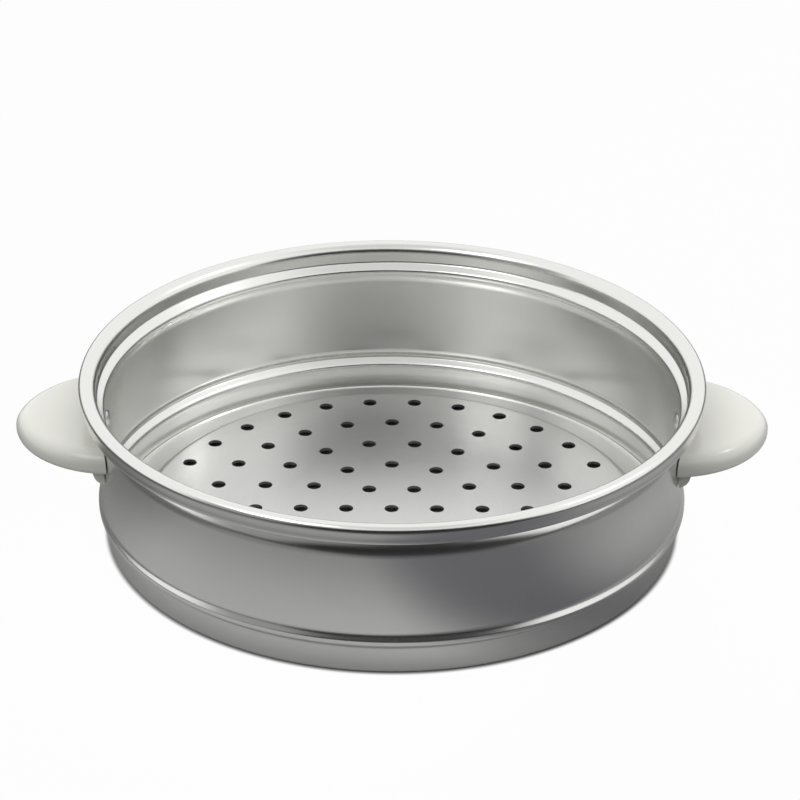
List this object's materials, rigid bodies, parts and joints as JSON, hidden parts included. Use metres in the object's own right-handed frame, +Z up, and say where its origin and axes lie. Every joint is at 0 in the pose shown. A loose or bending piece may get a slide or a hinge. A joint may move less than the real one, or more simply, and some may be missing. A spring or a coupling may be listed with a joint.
{
  "type": "food steamer basket",
  "caption": "Round drawn-aluminium food steamer basket with a stop bead and pot spigot, an arched rim with a lid recess, a loose perforated floor plate and moulded tab handles.",
  "frame": {"origin": "centre of the underside, on the axis of the basket", "axes": "+Z up along the axis of the basket, +X out along the right handle, +Y to the back"},
  "size_m": [0.3028, 0.25, 0.0684],
  "materials": {
    "shell_aluminium": "satin",
    "plate_aluminium": "satin",
    "handle_plastic": "soft gloss",
    "bracket_steel": "plain",
    "rivet_aluminium": "satin",
    "screw_steel": "zinc plated"
  },
  "bodies": {
    "basket": {"basket_shell": "shell_aluminium", "left_handle": "handle_plastic", "left_handle_bracket": "bracket_steel", "left_bracket_rivets": "rivet_aluminium", "left_handle_screws": "screw_steel", "right_handle": "handle_plastic", "right_handle_bracket": "bracket_steel", "right_bracket_rivets": "rivet_aluminium", "right_handle_screws": "screw_steel"},
    "plate": {"steam_plate": "plate_aluminium"}
  },
  "joints": [
    {"name": "plate_lift", "type": "slide", "parent": "basket", "child": "plate", "axis": [0, 0, 1], "range_m": [0, 0.08]}
  ]
}
